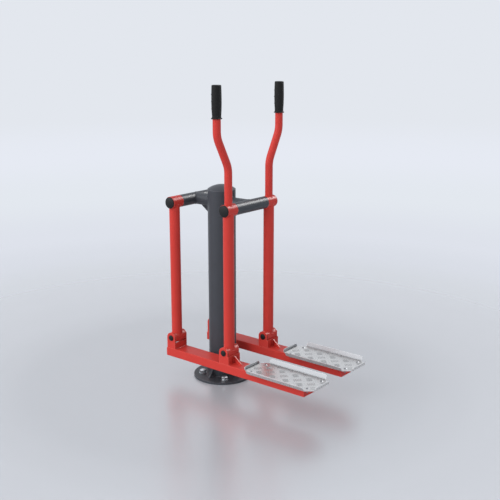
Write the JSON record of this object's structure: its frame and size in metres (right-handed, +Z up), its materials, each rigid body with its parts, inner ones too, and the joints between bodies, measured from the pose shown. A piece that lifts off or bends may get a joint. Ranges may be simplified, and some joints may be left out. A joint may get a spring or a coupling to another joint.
{
  "type": "outdoor air walker",
  "caption": "Outdoor air walker: a post on a round bolted base carries crossbars; parallelogram swing links hold foot beams with tread plates and upright handles with rubber grips.",
  "frame": {"origin": "centre of the base plate's underside, on the ground", "axes": "+Z up along the post, +X to the right along the crossbars, -Y towards the foot plates, where the user steps on"},
  "size_m": [0.517, 0.939, 1.4975],
  "materials": {
    "grey_paint": "satin anthracite grey powder coat",
    "red_paint": "satin signal red powder coat",
    "black_plastic": "moulded black plastic",
    "rubber": "black moulded rubber",
    "tread_alloy": "bright mill finish tread plate",
    "zinc": "bright zinc plate",
    "bright_steel": "turned and ground steel",
    "dark_steel": "dull blackened steel",
    "nylon": "black nylon"
  },
  "bodies": {
    "frame": {"base_plate": "grey_paint", "base_gussets": "grey_paint", "anchor_washers": "zinc", "anchor_cap_nuts": "zinc", "post_tube": "grey_paint", "post_cap": "grey_paint", "front_arm": "grey_paint", "rear_arm": "grey_paint", "arm_gussets": "grey_paint", "front_crossbar": "grey_paint", "rear_crossbar": "grey_paint", "crossbar_plugs": "bright_steel", "hub_axles": "bright_steel", "axle_end_bolts": "zinc"},
    "left_front_link": {"left_front_hub": "red_paint", "left_front_hub_bearings": "bright_steel", "left_front_hub_cap": "black_plastic", "left_front_link_tube": "red_paint", "left_front_eye": "red_paint", "left_front_eye_bushes": "nylon", "left_handle": "red_paint", "left_grip": "rubber"},
    "left_rear_link": {"left_rear_hub": "red_paint", "left_rear_hub_bearings": "bright_steel", "left_rear_hub_cap": "black_plastic", "left_rear_link_tube": "red_paint", "left_rear_eye": "red_paint", "left_rear_eye_bushes": "nylon"},
    "left_beam": {"left_beam_tube": "red_paint", "left_front_clevis": "red_paint", "left_rear_clevis": "red_paint", "left_pivot_pins": "bright_steel", "left_pin_screws": "zinc", "left_pin_caps": "black_plastic", "left_foot_plate": "tread_alloy", "left_plate_carriers": "red_paint", "left_plate_screws": "dark_steel"},
    "right_front_link": {"right_front_hub": "red_paint", "right_front_hub_bearings": "bright_steel", "right_front_hub_cap": "black_plastic", "right_front_link_tube": "red_paint", "right_front_eye": "red_paint", "right_front_eye_bushes": "nylon", "right_handle": "red_paint", "right_grip": "rubber"},
    "right_rear_link": {"right_rear_hub": "red_paint", "right_rear_hub_bearings": "bright_steel", "right_rear_hub_cap": "black_plastic", "right_rear_link_tube": "red_paint", "right_rear_eye": "red_paint", "right_rear_eye_bushes": "nylon"},
    "right_beam": {"right_beam_tube": "red_paint", "right_front_clevis": "red_paint", "right_rear_clevis": "red_paint", "right_pivot_pins": "bright_steel", "right_pin_screws": "zinc", "right_pin_caps": "black_plastic", "right_foot_plate": "tread_alloy", "right_plate_carriers": "red_paint", "right_plate_screws": "dark_steel"}
  },
  "joints": [
    {"name": "left_swing", "type": "hinge", "parent": "frame", "child": "left_front_link", "pos_m": [-0.155, -0.176, 0.913], "axis": [1, 0, 0], "range_deg": [-25, 25]},
    {"name": "left_rear_swing", "type": "hinge", "parent": "frame", "child": "left_rear_link", "pos_m": [-0.155, 0.176, 0.913], "axis": [1, 0, 0], "range_deg": [-25, 25]},
    {"name": "left_beam_pivot", "type": "hinge", "parent": "left_front_link", "child": "left_beam", "pos_m": [-0.155, -0.176, 0.213], "axis": [1, 0, 0], "range_deg": [-25, 25]},
    {"name": "right_swing", "type": "hinge", "parent": "frame", "child": "right_front_link", "pos_m": [0.155, -0.176, 0.913], "axis": [1, 0, 0], "range_deg": [-25, 25]},
    {"name": "right_rear_swing", "type": "hinge", "parent": "frame", "child": "right_rear_link", "pos_m": [0.155, 0.176, 0.913], "axis": [1, 0, 0], "range_deg": [-25, 25]},
    {"name": "right_beam_pivot", "type": "hinge", "parent": "right_front_link", "child": "right_beam", "pos_m": [0.155, -0.176, 0.213], "axis": [1, 0, 0], "range_deg": [-25, 25]}
  ],
  "couplings": [
    {"joint": "left_rear_swing", "follows": "left_swing", "ratio": 1},
    {"joint": "left_beam_pivot", "follows": "left_swing", "ratio": -1},
    {"joint": "right_rear_swing", "follows": "right_swing", "ratio": 1},
    {"joint": "right_beam_pivot", "follows": "right_swing", "ratio": -1}
  ]
}
